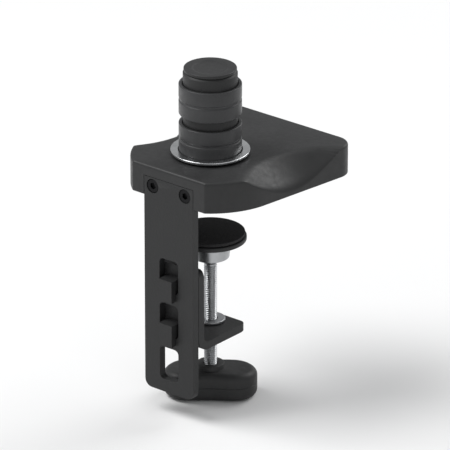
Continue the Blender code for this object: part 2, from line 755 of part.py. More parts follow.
def make_handle():
    """Bar handle with full round ends and a hub, bored for the screw."""
    turn = Matrix.Rotation(HANDLE_ANGLE, 4, "Z")
    outline = stadium(HANDLE_LENGTH, HANDLE_DEPTH)
    handle = plate(
        "clamp_handle", outline, HANDLE_BOTTOM_Z, HANDLE_TOP_Z, HANDLE_PLASTIC, PARTS, turn
    )
    soften(handle, HANDLE_EDGE, 3)
    hub = rod("hub", (0, 0, PIN_Z), (0, 0, HUB_TOP_Z), HUB_RADIUS, steps=ROUND_STEPS)
    join(handle, hub)
    bore = rod("bore", (0, 0, HANDLE_BOTTOM_Z - 0.001), (0, 0, HUB_TOP_Z + 0.001), THREAD_BORE, steps=32)
    cap_top = HANDLE_CAP_Z + GAP
    room = rod(
        "cap_room", (0, 0, HANDLE_BOTTOM_Z - 0.001), (0, 0, cap_top), HANDLE_CAP_RADIUS + GAP,
        steps=ROUND_STEPS,
    )
    return cut(handle, bore, room, pin_rod("handle_pin_hole", PIN_LENGTH + 2 * GAP, PIN_RADIUS + GAP))


def make_handle_cap():
    """Disc that closes the handle's bore from below."""
    profile = [
        (0.0, HANDLE_CAP_Z),
        (HANDLE_CAP_RADIUS, HANDLE_CAP_Z),
        (HANDLE_CAP_RADIUS, HANDLE_BOTTOM_Z),
        (0.0, HANDLE_BOTTOM_Z),
    ]
    return turned("handle_cap", profile, HANDLE_PLASTIC)


def make_foot():
    """Foot that stays still while the screw turns: seat, socket, plate and pad."""
    outer = ball_arc(SEAT_RADIUS, SEAT_ANGLE, -SEAT_ANGLE)
    inner = ball_arc(SEAT_BORE, -SEAT_ANGLE, SEAT_ANGLE)
    turned("ball_seat", outer + inner, SLEEVE_PLASTIC, steps=32, closed=True)

    socket_top = FOOT_PLATE_BOTTOM_Z - GAP
    socket_bottom = BALL_Z - SOCKET_BELOW_BALL
    top_angle = math.asin(min(0.95, (socket_top - BALL_Z) / SOCKET_BORE))
    low_angle = -math.asin(SOCKET_BELOW_BALL / SOCKET_BORE)
    profile = [
        (SOCKET_FLANGE_RADIUS, socket_top),
        (SOCKET_FLANGE_RADIUS, socket_top - SOCKET_FLANGE_THICKNESS),
        (SOCKET_RADIUS, socket_top - SOCKET_FLANGE_THICKNESS),
        (SOCKET_RADIUS - 0.001, socket_bottom),
    ]
    profile += ball_arc(SOCKET_BORE, low_angle, top_angle)
    turned("foot_socket", profile, ZINC_STEEL, steps=32, closed=True)

    plate_profile = [
        (0.0, FOOT_PLATE_TOP_Z),
        (FOOT_PLATE_RADIUS, FOOT_PLATE_TOP_Z),
        (FOOT_PLATE_RADIUS, FOOT_PLATE_BOTTOM_Z + 0.001),
        (FOOT_PLATE_RADIUS - 0.001, FOOT_PLATE_BOTTOM_Z),
        (0.0, FOOT_PLATE_BOTTOM_Z),
    ]
    turned("foot_plate", plate_profile, BLACK_STEEL)
    pad_bottom = FOOT_TOP_Z - FOOT_PAD_THICKNESS
    pad_profile = [
        (0.0, FOOT_TOP_Z),
        (FOOT_PAD_RADIUS, FOOT_TOP_Z),
        (FOOT_PAD_RADIUS, pad_bottom),
        (0.0, pad_bottom),
    ]
    turned("foot_pad", pad_profile, FOAM_PAD)


def shade_parts():
    """Shade the round pieces smooth between their sharp edges."""
    for item in PARTS.objects:
        if any(step.type == "SCREW" for step in item.modifiers):
            item.modifiers["turn"].use_smooth_shade = True


def build():
    """Make every piece of the clamp."""
    make_cover()
    make_frame()
    make_pad()
    make_base_screws()
    make_post()
    make_cap()
    make_swivel()
    make_hanger()
    make_hanger_screws()
    make_jaw()
    make_bush()
    make_screw()
    make_handle()
    pin_rod("handle_pin", PIN_LENGTH, PIN_RADIUS, ZINC_STEEL, PARTS)
    make_handle_cap()
    make_foot()
    shade_parts()


build()
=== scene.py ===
"""Looks of the desk clamp mount: finished surfaces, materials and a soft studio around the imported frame."""
import json
import math

import bmesh
import bpy
import numpy as np
from bpy.props import FloatProperty, FloatVectorProperty, PointerProperty
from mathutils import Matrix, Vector


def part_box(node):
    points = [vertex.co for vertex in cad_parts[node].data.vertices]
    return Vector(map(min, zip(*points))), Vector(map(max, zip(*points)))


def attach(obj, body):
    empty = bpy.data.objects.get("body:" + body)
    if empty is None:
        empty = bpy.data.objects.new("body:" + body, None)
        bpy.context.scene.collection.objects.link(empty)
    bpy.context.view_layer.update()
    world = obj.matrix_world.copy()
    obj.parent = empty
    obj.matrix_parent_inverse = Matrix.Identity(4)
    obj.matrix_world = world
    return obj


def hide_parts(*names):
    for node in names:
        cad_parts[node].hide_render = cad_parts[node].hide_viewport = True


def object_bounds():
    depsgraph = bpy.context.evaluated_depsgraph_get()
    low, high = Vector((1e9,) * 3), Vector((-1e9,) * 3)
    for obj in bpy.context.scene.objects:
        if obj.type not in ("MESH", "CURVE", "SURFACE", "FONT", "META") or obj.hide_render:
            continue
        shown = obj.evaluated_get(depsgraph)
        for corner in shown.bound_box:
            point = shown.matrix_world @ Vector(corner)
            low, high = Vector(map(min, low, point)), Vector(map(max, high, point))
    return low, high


bl_info = {
    "name": "Desk clamp mount",
    "version": (1, 0, 0),
    "blender": (4, 5, 0),
    "location": "3D View > Sidebar > Desk clamp",
    "description": "Builds the finished surfaces of a desk clamp mount around its frame",
    "category": "Object",
}

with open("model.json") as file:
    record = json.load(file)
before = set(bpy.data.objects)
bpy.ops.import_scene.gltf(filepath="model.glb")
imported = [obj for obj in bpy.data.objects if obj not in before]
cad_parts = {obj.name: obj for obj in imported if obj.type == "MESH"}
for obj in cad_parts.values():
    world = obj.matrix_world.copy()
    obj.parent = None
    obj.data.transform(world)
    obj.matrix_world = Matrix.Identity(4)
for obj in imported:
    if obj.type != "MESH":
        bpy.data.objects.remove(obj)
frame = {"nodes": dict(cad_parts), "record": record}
CAD_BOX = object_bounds()
NODES = frame["nodes"]
BODY_OF = {
    node: body for body, members in frame["record"]["behaviour"]["bodies"].items() for node in members
}
SLOT_OF = {entry["node"]: entry["material_slot"] for entry in frame["record"]["subparts"]}
TAU = 2 * math.pi
GAP = 0.0003
SATIN_SPECULAR = 0.32
AXIS_SHARE = 0.02           # an open profile starts this share of its radius from the axis
BORE_WALL = 0.0022          # sleeve wall inside the outer radius
CLAMP_BORE = 0.0043         # bush and hub clear the clamp screw's rod
DARK_STEEL = (0.020, 0.020, 0.021)
CAST_GREY = (0.30, 0.31, 0.32)


# ---- properties ------------------------------------------------------------------------------------

class ClampLooks(bpy.types.PropertyGroup):
    """Colours that a user may change."""

    cover_colour: FloatVectorProperty(
        name="Cover colour", description="Colour of the moulded cover", subtype="COLOR",
        default=(0.027, 0.0273, 0.0278), min=0.0, max=1.0,
    )
    handle_colour: FloatVectorProperty(
        name="Handle colour", description="Colour of the moulded handle", subtype="COLOR",
        default=(0.026, 0.0263, 0.0268), min=0.0, max=1.0,
    )
    steel_colour: FloatVectorProperty(
        name="Coated steel colour", description="Colour of the powder coat", subtype="COLOR",
        default=(0.024, 0.0243, 0.0248), min=0.0, max=1.0,
    )
    ring_colour: FloatVectorProperty(
        name="Ring colour", description="Colour of the bright swivel ring", subtype="COLOR",
        default=(0.72, 0.73, 0.74), min=0.0, max=1.0,
    )
    zinc_colour: FloatVectorProperty(
        name="Zinc colour", description="Colour of the plated screw", subtype="COLOR",
        default=(0.46, 0.47, 0.48), min=0.0, max=1.0,
    )
    sleeve_colour: FloatVectorProperty(
        name="Sleeve colour", description="Colour of the bearing plastic", subtype="COLOR",
        default=(0.045, 0.0455, 0.047), min=0.0, max=1.0,
    )
    foam_colour: FloatVectorProperty(
        name="Foam colour", description="Colour of the foam pads", subtype="COLOR",
        default=(0.018, 0.018, 0.019), min=0.0, max=1.0,
    )


class ClampSizes(bpy.types.PropertyGroup):
    """Sizes of the finished surfaces that the frame leaves open."""

    deck_fillet: FloatProperty(
        name="Deck fillet", description="Rounding around the cover's top edge", default=0.0016, unit="LENGTH"
    )
    plate_edge: FloatProperty(
        name="Plate edge", description="Rounding of the sheared steel edges", default=0.0007, unit="LENGTH"
    )
    thread_pitch: FloatProperty(
        name="Thread pitch", description="Pitch of the clamp screw", default=0.00125, unit="LENGTH"
    )
    thread_depth: FloatProperty(
        name="Thread depth", description="Depth of the clamp screw's thread", default=0.00062, unit="LENGTH"
    )


# ---- meshes ------------------------------------------------------------------------------------------

def new_piece(name, mesh, node, finish):
    """Make an object of a mesh, let it ride and stand for a node, and give it a material."""
    piece = bpy.data.objects.new(name, mesh)
    bpy.context.scene.collection.objects.link(piece)
    piece.data.materials.clear()
    piece.data.materials.append(finish)
    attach(piece, BODY_OF[node])
    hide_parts(node)
    return piece


def smooth(mesh, degrees=35.0):
    """Shade a mesh smooth except at edges sharper than an angle."""
    mesh.shade_smooth()
    mesh.set_sharp_from_angle(angle=math.radians(degrees))
    return mesh


def grid_mesh(name, points, wrap_rows=False, cap_first=False, cap_last=False):
    """Mesh of a grid of points shaped (rows, columns, 3): columns close on themselves, and
    each quad joins a point to its neighbours in the next column and row. Caps fan to a mean point."""
    rows, columns, _ = points.shape
    row = np.arange(rows if wrap_rows else rows - 1)
    column = np.arange(columns)
    r, c = np.meshgrid(row, column, indexing="ij")
    next_r = (r + 1) % rows
    next_c = (c + 1) % columns
    quads = np.stack(
        [r * columns + c, r * columns + next_c, next_r * columns + next_c, next_r * columns + c], axis=-1
    ).reshape(-1, 4)
    vertices = points.reshape(-1, 3)
    faces = [tuple(face) for face in quads.tolist()]
    if cap_first:
        centre = len(vertices)
        vertices = np.vstack([vertices, points[0].mean(axis=0)])
        faces += [(centre, (i + 1) % columns, i) for i in range(columns)]
    if cap_last:
        centre = len(vertices)
        vertices = np.vstack([vertices, points[-1].mean(axis=0)])
        start = (rows - 1) * columns
        faces += [(centre, start + i, start + (i + 1) % columns) for i in range(columns)]
    mesh = bpy.data.meshes.new(name)
    mesh.from_pydata(vertices.tolist(), [], faces)
    shape = bmesh.new()
    shape.from_mesh(mesh)
    bmesh.ops.recalc_face_normals(shape, faces=shape.faces)
    shape.to_mesh(mesh)
    shape.free()
    mesh.validate()
    return mesh


def filleted(profile, radius, steps=4, closed=True):
    """Round a profile's corners: each corner becomes a quadratic arc between two points that lie
    a radius (or 0.45 of the side, if shorter) along its two sides."""
    points = np.array(profile, float)
    count = len(points)
    result = []
    for i in range(count):
        here = points[i]
        if not closed and i in (0, count - 1):
            result.append(here)
            continue
        before = points[i - 1] - here
        after = points[(i + 1) % count] - here
        reach_before = min(radius, 0.45 * np.linalg.norm(before)) / np.linalg.norm(before)
        reach_after = min(radius, 0.45 * np.linalg.norm(after)) / np.linalg.norm(after)
        t = np.linspace(0.0, 1.0, steps + 1)[:, None]
        start = here + before * reach_before
        end = here + after * reach_after
        result.extend((1 - t) ** 2 * start + 2 * t * (1 - t) * here + t ** 2 * end)
    return np.array(result)


def revolved(name, profile, closed, steps=128, centre=(0.0, 0.0)):
    """Surface of a profile of (radius, height) points turned about an upright axis:
    x = cx + r cos a, y = cy + r sin a, z = height."""
    angle = np.arange(steps) * TAU / steps
    radius = profile[:, 0][:, None]
    height = np.repeat(profile[:, 1][:, None], steps, axis=1)
    x = centre[0] + radius * np.cos(angle)
    y = centre[1] + radius * np.sin(angle)
    points = np.stack([x, y, height], axis=-1)
    return grid_mesh(name, points, wrap_rows=closed, cap_first=not closed, cap_last=not closed)


def tube_profile(bore, radius, low, high, edge):
    """Closed profile of a ring with rounded edges."""
    return filleted([(radius, high), (radius, low), (bore, low), (bore, high)], edge)


def disc_profile(radius, low, high, edge):
    """Open profile of a disc with rounded rims; its two ends lie near the axis."""
    near = radius * AXIS_SHARE
    return filleted([(near, high), (radius, high), (radius, low), (near, low)], edge, closed=False)


def node_sizes(node):
    """Outer radius, lowest height and highest height of a turned node."""
    low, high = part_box(node)
    return (high.x - low.x) / 2, low.z, high.z


def refined(node, name, width, finish, segments=3, angle=30.0):
    """A merged copy of a node's mesh, flat faces dissolved, with rounded edges."""
    mesh = NODES[node].data.copy()
    mesh.name = name
    shape = bmesh.new()
    shape.from_mesh(mesh)
    bmesh.ops.remove_doubles(shape, verts=shape.verts, dist=0.00001)
    bmesh.ops.dissolve_limit(shape, angle_limit=math.radians(1.0), verts=shape.verts, edges=shape.edges)
    shape.to_mesh(mesh)
    shape.free()
    piece = new_piece(name, mesh, node, finish)
    bevel = piece.modifiers.new("rounded_edges", "BEVEL")
    bevel.width = width
    bevel.segments = segments
    bevel.limit_method = "ANGLE"
    bevel.angle_limit = math.radians(angle)
    bevel.harden_normals = True
    smooth(mesh, angle)
    return piece


# ---- materials ---------------------------------------------------------------------------------------

def finish_nodes(name, colour, roughness, metallic=0.0):
    """A Principled material and its node tree, links and shader."""
    finish = bpy.data.materials.new(name)
    finish.use_nodes = True
    tree = finish.node_tree
    shader = tree.nodes["Principled BSDF"]
    shader.inputs["Base Color"].default_value = (*colour, 1.0)
    shader.inputs["Roughness"].default_value = roughness
    shader.inputs["Metallic"].default_value = metallic
    return finish, tree, shader


def noise(tree, scale, detail=3.0, stretch=(1.0, 1.0, 1.0)):
    """Noise on object coordinates, in cycles per metre, stretched along an axis by a mapping."""
    place = tree.nodes.new("ShaderNodeTexCoord")
    mapping = tree.nodes.new("ShaderNodeMapping")
    mapping.inputs["Scale"].default_value = stretch
    texture = tree.nodes.new("ShaderNodeTexNoise")
    texture.inputs["Scale"].default_value = scale
    texture.inputs["Detail"].default_value = detail
    tree.links.new(place.outputs["Object"], mapping.inputs["Vector"])
    tree.links.new(mapping.outputs["Vector"], texture.inputs["Vector"])
    return texture


def spread(tree, source, low, high):
    """Map a texture's value between a low and a high value."""
    ramp = tree.nodes.new("ShaderNodeMapRange")
    ramp.inputs["From Min"].default_value = 0.3
    ramp.inputs["From Max"].default_value = 0.7
    ramp.inputs["To Min"].default_value = low
    ramp.inputs["To Max"].default_value = high
    tree.links.new(source, ramp.inputs["Value"])
    return ramp.outputs["Result"]


def tint(tree, source, colour, low, high):
    """Vary a colour between two shares of itself by a texture's value."""
    mix = tree.nodes.new("ShaderNodeMix")
    mix.data_type = "RGBA"
    mix.inputs["A"].default_value = (*[part * low for part in colour], 1.0)
    mix.inputs["B"].default_value = (*[min(1.0, part * high) for part in colour], 1.0)
    tree.links.new(spread(tree, source, 0.0, 1.0), mix.inputs["Factor"])
    return mix.outputs["Result"]


def grain(tree, shader, source, strength, distance, before=None):
    """Raise the surface by a texture's value; chains onto an earlier bump."""
    bump = tree.nodes.new("ShaderNodeBump")
    bump.inputs["Strength"].default_value = strength
    bump.inputs["Distance"].default_value = distance
    tree.links.new(source, bump.inputs["Height"])
    if before:
        tree.links.new(before.outputs["Normal"], bump.inputs["Normal"])
    tree.links.new(bump.outputs["Normal"], shader.inputs["Normal"])
    return bump


def moulded_plastic(name, colour, roughness, grain_scale=2600.0):
    """Satin plastic with a spark-eroded grain, faint flow marks and scuffs in its gloss."""
    finish, tree, shader = finish_nodes(name, colour, roughness)
    shader.inputs["Specular IOR Level"].default_value = SATIN_SPECULAR
    cloud = noise(tree, 60.0, 4.0)
    fine = noise(tree, grain_scale, 2.0)
    tree.links.new(tint(tree, cloud.outputs["Fac"], colour, 0.90, 1.12), shader.inputs["Base Color"])
    scuffs = noise(tree, 320.0, 6.0)
    rough = spread(tree, scuffs.outputs["Fac"], roughness - 0.06, roughness + 0.07)
    tree.links.new(rough, shader.inputs["Roughness"])
    grain(tree, shader, fine.outputs["Fac"], 0.35, 0.00012)
    return finish


def powder_coat(name, colour):
    """Powder coat: orange-peel waves with a fine grit over them."""
    finish, tree, shader = finish_nodes(name, colour, 0.5)
    shader.inputs["Specular IOR Level"].default_value = SATIN_SPECULAR
    peel = noise(tree, 700.0, 1.5)
    grit = noise(tree, 3800.0, 2.0)
    cloud = noise(tree, 45.0, 5.0)
    tree.links.new(tint(tree, cloud.outputs["Fac"], colour, 0.90, 1.12), shader.inputs["Base Color"])
    rough = spread(tree, cloud.outputs["Fac"], 0.44, 0.58)
    tree.links.new(rough, shader.inputs["Roughness"])
    wave = grain(tree, shader, peel.outputs["Fac"], 0.35, 0.00025)
    grain(tree, shader, grit.outputs["Fac"], 0.30, 0.00006, wave)
    return finish


def turned_metal(name, colour, roughness):
    """Machined metal: fine rings around the upright axis and cloudy gloss."""
    finish, tree, shader = finish_nodes(name, colour, roughness, 1.0)
    lines = noise(tree, 1.0, 3.0, (60.0, 60.0, 9000.0))
    cloud = noise(tree, 130.0, 5.0)
    tree.links.new(tint(tree, cloud.outputs["Fac"], colour, 0.88, 1.08), shader.inputs["Base Color"])
    rough = spread(tree, cloud.outputs["Fac"], roughness - 0.06, roughness + 0.10)
    tree.links.new(rough, shader.inputs["Roughness"])
    grain(tree, shader, lines.outputs["Fac"], 0.25, 0.00005)
    return finish


def cast_metal(name, colour):
    """As-cast metal with a sandy skin."""
    finish, tree, shader = finish_nodes(name, colour, 0.5, 1.0)
    skin = noise(tree, 1400.0, 4.0)
    tree.links.new(tint(tree, skin.outputs["Fac"], colour, 0.8, 1.1), shader.inputs["Base Color"])
    grain(tree, shader, skin.outputs["Fac"], 0.5, 0.0002)
    return finish


def closed_cell_foam(name, colour):
    """Foam sheet with small open pores at its cut faces."""
    finish, tree, shader = finish_nodes(name, colour, 0.9)
    place = tree.nodes.new("ShaderNodeTexCoord")
    cells = tree.nodes.new("ShaderNodeTexVoronoi")
    cells.inputs["Scale"].default_value = 1500.0
    tree.links.new(place.outputs["Object"], cells.inputs["Vector"])
    tree.links.new(tint(tree, cells.outputs["Distance"], colour, 0.7, 1.5), shader.inputs["Base Color"])
    grain(tree, shader, cells.outputs["Distance"], 0.6, 0.0002)
    return finish


FINISHES = {}


def make_finishes():
    """Make every material once, by its slot name."""
    looks = bpy.context.scene.clamp_looks
    FINISHES["cover_plastic"] = moulded_plastic("cover_plastic", looks.cover_colour, 0.46)
    FINISHES["handle_plastic"] = moulded_plastic("handle_plastic", looks.handle_colour, 0.50, 2200.0)
    FINISHES["sleeve_plastic"] = moulded_plastic("sleeve_plastic", looks.sleeve_colour, 0.36, 4000.0)
    FINISHES["black_steel"] = powder_coat("black_steel", looks.steel_colour)
    FINISHES["bright_steel"] = turned_metal("bright_steel", looks.ring_colour, 0.22)
    FINISHES["zinc_steel"] = turned_metal("zinc_steel", looks.zinc_colour, 0.36)
    FINISHES["dark_screw"] = turned_metal("dark_screw", DARK_STEEL, 0.42)
    FINISHES["cast_frame"] = cast_metal("cast_frame", CAST_GREY)
    FINISHES["foam_pad"] = closed_cell_foam("foam_pad", looks.foam_colour)


# ---- cover ------------------------------------------------------------------------------------------

REAR_RADIUS = 0.048
CORNER_RADIUS = 0.012
SCOOP_Y = 0.013
SCOOP_REACH = 0.032
SCOOP_RIM_RADIUS = 0.052
SCOOP_FOOT_RADIUS = 0.0314
SCOOP_FOOT_RISE = 0.0035    # the scoop runs out this far above the skirt's edge
COVER_WALL = 0.0025
COVER_COLUMNS = 720
COVER_BLEND = 0.004


def outline_reach(angle, inset, low, high):
    """Distance from the scoop line's centre to the base's outline along each angle: the least of
    the reaches to the rear circle about the post, rear flat, front edge, flank tangent and corners."""
    half_width = high.x
    corner = np.array([half_width - CORNER_RADIUS, high.y - CORNER_RADIUS])
    way = math.atan2(corner[1], corner[0])
    tangent = way - math.acos((REAR_RADIUS - CORNER_RADIUS) / np.hypot(*corner))
    dx, dy = np.abs(np.cos(angle)), np.sin(angle)
    start = np.array([0.0, SCOOP_Y])

    def to_line(nx, ny, offset):
        along = nx * dx + ny * dy
        rest = offset - (nx * start[0] + ny * start[1])
        return np.where(along > 1e-6, rest / np.maximum(along, 1e-6), np.inf)

    def to_circle(centre, radius):
        sx, sy = start[0] - centre[0], start[1] - centre[1]
        b = sx * dx + sy * dy
        c = sx * sx + sy * sy - radius * radius
        return -b + np.sqrt(np.maximum(b * b - c, 0.0))

    radius = REAR_RADIUS - inset
    flank = to_line(math.cos(tangent), math.sin(tangent), radius)
    reach = np.minimum(flank, to_line(0.0, 1.0, high.y - inset))
    reach = np.minimum(reach, to_line(0.0, -1.0, -(low.y + inset)))
    rear = to_circle((0.0, 0.0), radius)
    foot = np.array([radius * math.cos(tangent), radius * math.sin(tangent)])
    touch_angle = math.atan2(foot[1] - start[1], foot[0])
    true_angle = np.arctan2(dy, dx)
    reach = np.where(true_angle < touch_angle, np.minimum(reach, rear), reach)
    around = to_circle(corner, CORNER_RADIUS - inset)
    corner_low = corner + (CORNER_RADIUS - inset) * np.array([math.cos(tangent), math.sin(tangent)])
    corner_high = corner + np.array([0.0, CORNER_RADIUS - inset])
    angle_low = math.atan2(corner_low[1] - start[1], corner_low[0])
    angle_high = math.atan2(corner_high[1] - start[1], corner_high[0])
    in_corner = (true_angle > angle_low) & (true_angle < angle_high)
    return np.where(in_corner, around, reach)


def scoop_reach(angle, height, extra, low, high):
    """Distance along each angle to the cone that hollows the flank: the near root of the ray and
    the circle whose radius grows in a straight line from the scoop's foot to the deck."""
    foot_z = low.z + SCOOP_FOOT_RISE
    slope = (SCOOP_RIM_RADIUS - SCOOP_FOOT_RADIUS) / (high.z - foot_z)
    radius = SCOOP_FOOT_RADIUS + slope * (height - foot_z) + extra * math.hypot(1.0, slope)
    far = SCOOP_REACH + SCOOP_RIM_RADIUS
    b = far * np.abs(np.cos(angle))
    inside = b * b - (far * far - radius * radius)
    near = b - np.sqrt(np.maximum(inside, 0.0))
    return np.where((inside > 0) & (radius > 0), near, np.inf)


def soft_least(first, second, blend):
    """Smooth least of two lengths: their least, less a parabola where they are within a blend."""
    second = np.minimum(second, first + 10 * blend)
    overlap = np.maximum(blend - np.abs(first - second), 0.0) / blend
    return np.minimum(first, second) - overlap ** 2 * blend / 4


def cover_rings(angle, heights, insets, extra, blend, low, high):
    """Rings of the cover at the given heights, each moved inwards by its inset."""
    rings = []
    for height, inset in zip(heights, insets):
        outer = outline_reach(angle, extra + inset, low, high)
        scoop = scoop_reach(angle, height, extra + inset, low, high)
        reach = soft_least(outer, scoop, blend)
        x, y = reach * np.cos(angle), SCOOP_Y + reach * np.sin(angle)
        rings.append(np.stack([x, y, np.full_like(angle, height)], -1))
    return rings


def make_cover_mesh(fillet):
    """Closed shell of the cover: skirt and scooped flanks rise to a rounded edge, the flat deck runs
    in to the post's opening, and the inside follows a wall's thickness behind."""
    low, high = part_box("base_cover")
    angle = np.arange(COVER_COLUMNS) * TAU / COVER_COLUMNS
    turn = np.linspace(0.0, math.pi / 2, 6)
    foot = 0.0006
    foot_turn = np.linspace(math.pi / 2, 0.0, 4)
    heights = list(low.z + foot * (1 - np.sin(foot_turn)))
    insets = list(foot * (1 - np.cos(foot_turn)))
    rise = np.linspace(low.z + foot, high.z - fillet, 26)[1:]
    heights += list(rise)
    insets += [0.0] * len(rise)
    heights += list(high.z - fillet + fillet * np.sin(turn[1:]))
    insets += list(fillet * (1 - np.cos(turn[1:])))
    outside = cover_rings(angle, heights, insets, 0.0, COVER_BLEND, low, high)
    edge = outside[-1]
    opening = node_sizes("slip_washer")[0] + GAP
    lip = 0.0005
    rise = SCOOP_Y * np.sin(angle)
    reach = np.sqrt(rise * rise - SCOOP_Y ** 2 + opening ** 2) - rise
    x, y = reach * np.cos(angle), SCOOP_Y + reach * np.sin(angle)
    hole = np.stack([x, y, np.zeros_like(angle)], -1) / opening
    top = np.array([0.0, 0.0, high.z])
    hole_top = hole * (opening + lip) + top
    share = np.linspace(0.0, 1.0, 8)[1:, None, None]
    deck = list(edge * (1 - share) + hole_top * share)
    throat = [
        hole * (opening + lip * 0.3) + top - [0, 0, lip * 0.3],
        hole * opening + top - [0, 0, lip],
        hole * opening + top - [0, 0, COVER_WALL],
    ]
    ceiling = high.z - COVER_WALL
    inner_heights = np.linspace(ceiling, low.z, 14)
    inside = cover_rings(angle, inner_heights, np.zeros(14), COVER_WALL, COVER_BLEND, low, high)
    points = np.array(outside + deck + throat + inside)
    return grid_mesh("base_cover_surface", points, wrap_rows=True)


def notch_cutter():
    """Box that opens the cover's rear for the hanger plate; it is removed after the cut."""
    low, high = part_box("hanger_plate")
    shape = bmesh.new()
    bmesh.ops.create_cube(shape, size=1.0)
    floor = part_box("base_cover")[0].z - 0.003
    corner_low = Vector((low.x - GAP, low.y - 0.002, floor))
    corner_high = Vector((high.x + GAP, high.y, high.z + GAP))
    for vertex in shape.verts:
        share = vertex.co + Vector((0.5, 0.5, 0.5))
        vertex.co = [a + (b - a) * s for a, b, s in zip(corner_low, corner_high, share)]
    mesh = bpy.data.meshes.new("notch")
    shape.to_mesh(mesh)
    shape.free()
    cutter = bpy.data.objects.new("notch", mesh)
    bpy.context.scene.collection.objects.link(cutter)
    return cutter


def carve(mesh, cutter):
    """Mesh left after an exact cut."""
    holder = bpy.data.objects.new("carved", mesh)
    bpy.context.scene.collection.objects.link(holder)
    step = holder.modifiers.new("cut", "BOOLEAN")
    step.operation = "DIFFERENCE"
    step.solver = "EXACT"
    step.object = cutter
    graph = bpy.context.evaluated_depsgraph_get()
    result = bpy.data.meshes.new_from_object(holder.evaluated_get(graph))
    bpy.data.objects.remove(holder)
    bpy.data.objects.remove(cutter)
    if not result.polygons:
        raise RuntimeError("The cut left no faces.")
    return result


class CLAMP_OT_cover(bpy.types.Operator):
    """Build the moulded cover of the base"""

    bl_idname = "clamp.cover"
    bl_label = "Base cover"

    def execute(self, context):
        sizes = context.scene.clamp_sizes
        mesh = carve(make_cover_mesh(sizes.deck_fillet), notch_cutter())
        new_piece("base_cover_surface", smooth(mesh, 28.0), "base_cover", FINISHES["cover_plastic"])
        return {"FINISHED"}


# ---- turned pieces --------------------------------------------------------------------------------------

class CLAMP_OT_post(bpy.types.Operator):
    """Build the post's cap and what turns on the post"""

    bl_idname = "clamp.post"
    bl_label = "Post and sleeves"

    def execute(self, context):
        bore = node_sizes("sleeve_lower")[0] - BORE_WALL
        for node in ("sleeve_lower", "sleeve_upper"):
            radius, low, high = node_sizes(node)
            groove = 0.0005
            middle = (low + high) / 2
            profile = [
                (radius, high), (radius, middle + 0.001), (radius - groove, middle + 0.0006),
                (radius - groove, middle - 0.0006), (radius, middle - 0.001), (radius, low), (bore, low),
                (bore, high),
            ]
            mesh = revolved(node + "_surface", filleted(profile, 0.0006), True)
            new_piece(node + "_surface", smooth(mesh), node, FINISHES["sleeve_plastic"])
        radius, low, high = node_sizes("slip_washer")
        mesh = revolved("slip_washer_surface", tube_profile(bore, radius, low, high, 0.0002), True)
        new_piece("slip_washer_surface", smooth(mesh), "slip_washer", FINISHES["sleeve_plastic"])
        radius, low, high = node_sizes("swivel_ring")
        ring_bore = node_sizes("sleeve_lower")[0] + GAP
        profile = filleted([(radius, high), (radius, low), (ring_bore, low), (ring_bore, high)], 0.0005, 6)
        mesh = revolved("swivel_ring_surface", profile, True, 192)
        new_piece("swivel_ring_surface", smooth(mesh), "swivel_ring", FINISHES["bright_steel"])
        radius, low, high = node_sizes("post_cap")
        plug = radius - 0.0028
        rim = high - 0.002
        near = radius * AXIS_SHARE
        dish = 0.0006
        profile = [
            (near, high - dish), (radius * 0.62, high - dish), (radius * 0.70, high), (radius, high),
            (radius, rim), (plug, rim), (plug, low), (near, low),
        ]
        mesh = revolved("post_cap_surface", filleted(profile, 0.0007, closed=False), False)
        new_piece("post_cap_surface", smooth(mesh), "post_cap", FINISHES["cover_plastic"])
        return {"FINISHED"}


def screw_profile(low, high, sizes):
    """Radii and heights of the clamp screw's rows, from the ball down to the end, and the thread's depth at
    each row.
    """
    ball = 0.006
    neck = 0.0032
    shank = 0.004
    centre = high - ball
    start_angle = np.linspace(math.pi / 2 - 0.05, -math.acos(neck / ball), 28)
    rows = np.stack([ball * np.cos(start_angle), centre + ball * np.sin(start_angle)], -1)
    neck_end = rows[-1, 1] - 0.003
    thread_top = neck_end - 0.0012
    thread_low = low + 0.014
    count = int((thread_top - thread_low) / sizes.thread_pitch * 10)
    thread_z = np.linspace(thread_top, thread_low, count)
    thread = np.stack([np.full(count, shank - 0.00002), thread_z], -1)
    head = np.array([[neck, neck_end], [shank - 0.0005, thread_top + 0.0004]])
    end = shank - 0.0002
    chamfer = 0.0005
    tail = np.array([[end, thread_low - 0.001], [end, low + chamfer], [end - chamfer, low]])
    depth = np.concatenate([
        np.zeros(len(rows) + len(head)), np.full(count, 1.0), np.zeros(len(tail))
    ])
    fade = 12
    first = len(rows) + len(head)
    depth[first:first + fade] = np.linspace(0.0, 1.0, fade)
    depth[first + count - fade:first + count] = np.linspace(1.0, 0.0, fade)
    return np.vstack([rows, head, thread, tail]), depth * sizes.thread_depth


class CLAMP_OT_screw(bpy.types.Operator):
    """Build the clamp screw with its helical thread"""

    bl_idname = "clamp.screw"
    bl_label = "Clamp screw"

    def execute(self, context):
        """The radius drops by depth times a triangle wave of z / pitch - angle / turn."""
        sizes = context.scene.clamp_sizes
        low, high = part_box("clamp_screw")
        profile, depth = screw_profile(low.z, high.z, sizes)
        steps = 48
        angle = np.arange(steps) * TAU / steps
        phase = profile[:, 1][:, None] / sizes.thread_pitch - angle[None, :] / TAU
        wave = 1 - np.abs(2 * (phase - np.floor(phase)) - 1)
        crest = np.clip(wave * 1.25 - 0.08, 0.0, 1.0)
        radius = profile[:, 0][:, None] - depth[:, None] * crest
        height = np.repeat(profile[:, 1][:, None], steps, axis=1)
        points = np.stack([radius * np.cos(angle), radius * np.sin(angle), height], -1)
        mesh = grid_mesh("clamp_screw_surface", points, cap_first=True, cap_last=True)
        new_piece("clamp_screw_surface", smooth(mesh, 50.0), "clamp_screw", FINISHES["zinc_steel"])
        return {"FINISHED"}


